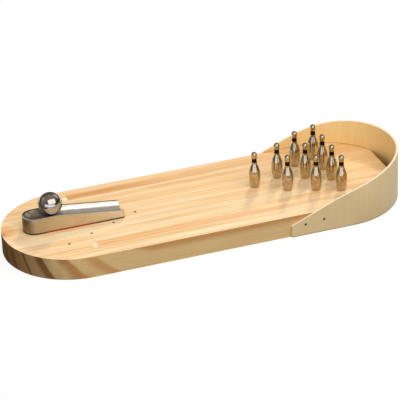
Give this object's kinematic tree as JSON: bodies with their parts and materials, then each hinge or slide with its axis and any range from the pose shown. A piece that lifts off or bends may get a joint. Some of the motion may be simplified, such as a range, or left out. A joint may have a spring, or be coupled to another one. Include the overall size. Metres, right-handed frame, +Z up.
{
  "type": "table bowling game",
  "caption": "Tabletop bowling game: a long pine lane with a round end, a bent veneer backstop, chromed pins with black neck bands, a steel ball and a loose cast metal launcher.",
  "frame": {"origin": "middle of the footprint, on the surface that the game stands on", "axes": "+X along the lane from the launcher to the pins, +Y to the player's left, +Z up"},
  "size_m": [0.2868, 0.1014, 0.0425],
  "materials": {
    "pine": "sanded pine under a thin clear lacquer",
    "veneer": "thin bent veneer, satin",
    "brad_steel": "dull dark brad heads",
    "cast_metal": "polished casting with brushed sides",
    "felt": "pressed red felt",
    "ball_steel": "mirror polished steel",
    "pin_chrome": "chromed, with a black painted band in a groove at the neck"
  },
  "bodies": {
    "lane": {"lane_board": "pine", "backstop_wall": "veneer", "wall_nail_left_front": "brad_steel", "wall_nail_left_rear": "brad_steel", "wall_nail_right_front": "brad_steel", "wall_nail_right_rear": "brad_steel"},
    "launcher": {"launcher": "cast_metal", "felt_pad": "felt"},
    "ball": {"ball": "ball_steel"},
    "pin_1": {"pin_1": "pin_chrome"},
    "pin_2": {"pin_2": "pin_chrome"},
    "pin_3": {"pin_3": "pin_chrome"},
    "pin_4": {"pin_4": "pin_chrome"},
    "pin_5": {"pin_5": "pin_chrome"},
    "pin_6": {"pin_6": "pin_chrome"},
    "pin_7": {"pin_7": "pin_chrome"},
    "pin_8": {"pin_8": "pin_chrome"},
    "pin_9": {"pin_9": "pin_chrome"},
    "pin_10": {"pin_10": "pin_chrome"}
  },
  "joints": [
    {"name": "launcher_aim", "type": "hinge", "parent": "lane", "child": "launcher", "pos_m": [-0.12005, 0.0029, 0.0155], "axis": [0, 0, 1], "range_deg": [-15, 15]},
    {"name": "ball_roll", "type": "slide", "parent": "launcher", "child": "ball", "axis": [0.9931, 0, -0.1172], "range_m": [0, 0.05]},
    {"name": "pin_1_lift", "type": "slide", "parent": "lane", "child": "pin_1", "axis": [0, 0, 1], "range_m": [0, 0.04]},
    {"name": "pin_2_lift", "type": "slide", "parent": "lane", "child": "pin_2", "axis": [0, 0, 1], "range_m": [0, 0.04]},
    {"name": "pin_3_lift", "type": "slide", "parent": "lane", "child": "pin_3", "axis": [0, 0, 1], "range_m": [0, 0.04]},
    {"name": "pin_4_lift", "type": "slide", "parent": "lane", "child": "pin_4", "axis": [0, 0, 1], "range_m": [0, 0.04]},
    {"name": "pin_5_lift", "type": "slide", "parent": "lane", "child": "pin_5", "axis": [0, 0, 1], "range_m": [0, 0.04]},
    {"name": "pin_6_lift", "type": "slide", "parent": "lane", "child": "pin_6", "axis": [0, 0, 1], "range_m": [0, 0.04]},
    {"name": "pin_7_lift", "type": "slide", "parent": "lane", "child": "pin_7", "axis": [0, 0, 1], "range_m": [0, 0.04]},
    {"name": "pin_8_lift", "type": "slide", "parent": "lane", "child": "pin_8", "axis": [0, 0, 1], "range_m": [0, 0.04]},
    {"name": "pin_9_lift", "type": "slide", "parent": "lane", "child": "pin_9", "axis": [0, 0, 1], "range_m": [0, 0.04]},
    {"name": "pin_10_lift", "type": "slide", "parent": "lane", "child": "pin_10", "axis": [0, 0, 1], "range_m": [0, 0.04]}
  ]
}
